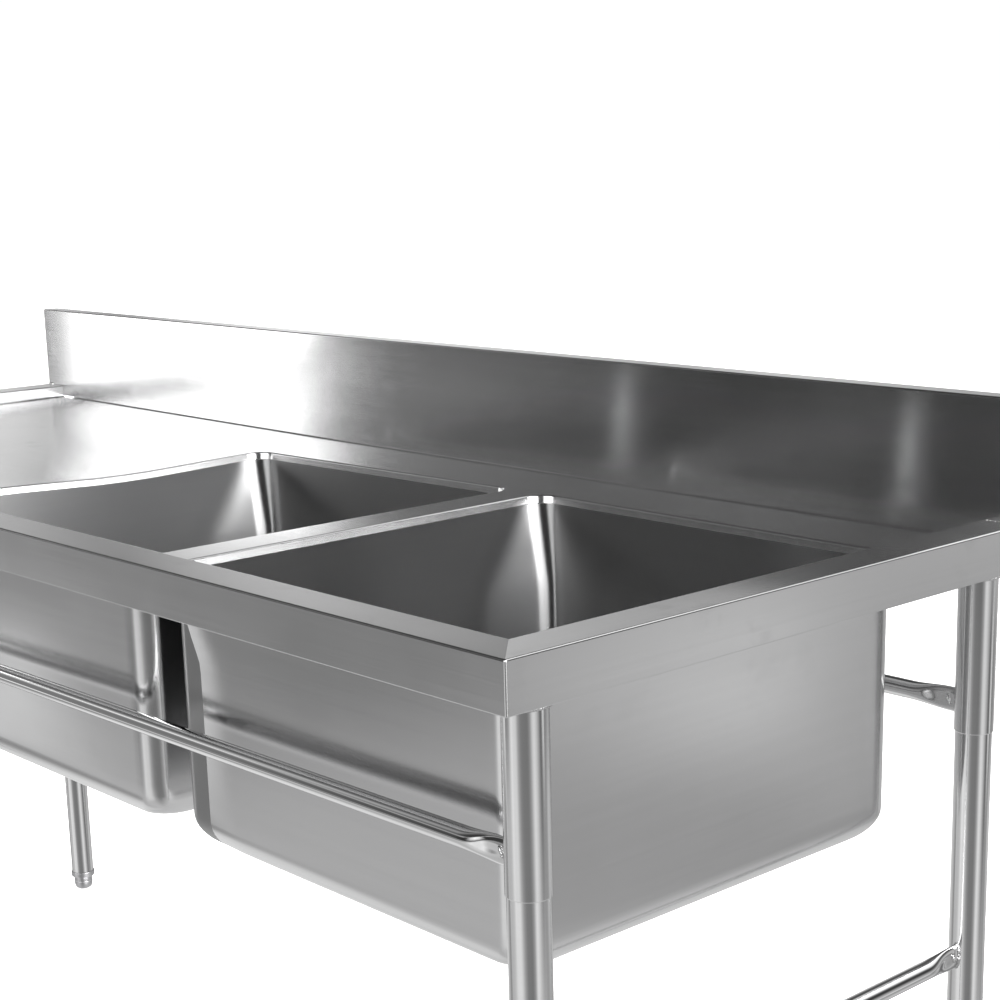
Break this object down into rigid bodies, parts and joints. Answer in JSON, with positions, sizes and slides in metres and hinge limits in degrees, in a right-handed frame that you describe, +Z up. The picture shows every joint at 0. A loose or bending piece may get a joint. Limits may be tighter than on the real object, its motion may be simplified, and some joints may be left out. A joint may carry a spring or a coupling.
{
  "type": "commercial sink with drainboard",
  "caption": "Free-standing stainless steel kitchen sink with deep square bowls, a dished left drainboard, raised rim, backsplash, tube legs with braces and adjustable feet.",
  "frame": {"origin": "on the floor, in the middle of the sink's footprint", "axes": "+X along the length with the drainboard at -X, -Y towards the operator and +Y to the wall, +Z up"},
  "size_m": [1.85, 0.7, 0.976],
  "materials": {
    "satin_steel_top": "satin, brushed along the length",
    "satin_steel_bowl": "satin, drawn and lightly brushed",
    "tube_steel": "fine satin, brushed along the tube",
    "polished_tube": "polished tube",
    "polished_steel": "polished",
    "chromed_brass": "bright chrome",
    "plated_steel": "dull plated",
    "black_rubber": "matte",
    "grey_plastic": "matte"
  },
  "bodies": {
    "sink_frame": {"deck_and_drainboard": "satin_steel_top", "backsplash": "satin_steel_top", "backsplash_end_cap_left": "satin_steel_top", "backsplash_end_cap_right": "satin_steel_top", "bowl_right": "satin_steel_bowl", "bowl_left": "satin_steel_bowl", "socket_plate_front_right": "satin_steel_top", "leg_socket_front_right": "tube_steel", "set_screw_front_right": "plated_steel", "leg_tube_front_right": "tube_steel", "foot_insert_front_right": "plated_steel", "socket_plate_front_left": "satin_steel_top", "leg_socket_front_left": "tube_steel", "set_screw_front_left": "plated_steel", "leg_tube_front_left": "tube_steel", "foot_insert_front_left": "plated_steel", "socket_plate_rear_right": "satin_steel_top", "leg_socket_rear_right": "tube_steel", "set_screw_rear_right": "plated_steel", "leg_tube_rear_right": "tube_steel", "foot_insert_rear_right": "plated_steel", "socket_plate_rear_left": "satin_steel_top", "leg_socket_rear_left": "tube_steel", "set_screw_rear_left": "plated_steel", "leg_tube_rear_left": "tube_steel", "foot_insert_rear_left": "plated_steel", "brace_front": "polished_tube", "brace_rear": "polished_tube", "brace_side_right": "polished_tube", "brace_side_left": "polished_tube", "drainboard_channel_front": "satin_steel_top", "drainboard_channel_rear": "satin_steel_top", "strainer_body_right": "polished_steel", "drain_gasket_right": "black_rubber", "friction_washer_right": "grey_plastic", "locknut_right": "plated_steel", "coupling_nut_right": "chromed_brass", "tailpiece_right": "chromed_brass", "strainer_body_left": "polished_steel", "drain_gasket_left": "black_rubber", "friction_washer_left": "grey_plastic", "locknut_left": "plated_steel", "coupling_nut_left": "chromed_brass", "tailpiece_left": "chromed_brass"},
    "adjustable_foot_front_right": {"foot_front_right": "plated_steel"},
    "adjustable_foot_front_left": {"foot_front_left": "plated_steel"},
    "adjustable_foot_rear_right": {"foot_rear_right": "plated_steel"},
    "adjustable_foot_rear_left": {"foot_rear_left": "plated_steel"},
    "strainer_right": {"strainer_basket_right": "polished_steel", "stopper_seal_right": "black_rubber"},
    "strainer_left": {"strainer_basket_left": "polished_steel", "stopper_seal_left": "black_rubber"}
  },
  "joints": [
    {"name": "foot_height_front_right", "type": "slide", "parent": "sink_frame", "child": "adjustable_foot_front_right", "axis": [0, 0, -1], "range_m": [0, 0.025]},
    {"name": "foot_height_front_left", "type": "slide", "parent": "sink_frame", "child": "adjustable_foot_front_left", "axis": [0, 0, -1], "range_m": [0, 0.025]},
    {"name": "foot_height_rear_right", "type": "slide", "parent": "sink_frame", "child": "adjustable_foot_rear_right", "axis": [0, 0, -1], "range_m": [0, 0.025]},
    {"name": "foot_height_rear_left", "type": "slide", "parent": "sink_frame", "child": "adjustable_foot_rear_left", "axis": [0, 0, -1], "range_m": [0, 0.025]},
    {"name": "strainer_lift_right", "type": "slide", "parent": "sink_frame", "child": "strainer_right", "axis": [0, 0, 1], "range_m": [0, 0.34]},
    {"name": "strainer_lift_left", "type": "slide", "parent": "sink_frame", "child": "strainer_left", "axis": [0, 0, 1], "range_m": [0, 0.34]}
  ]
}
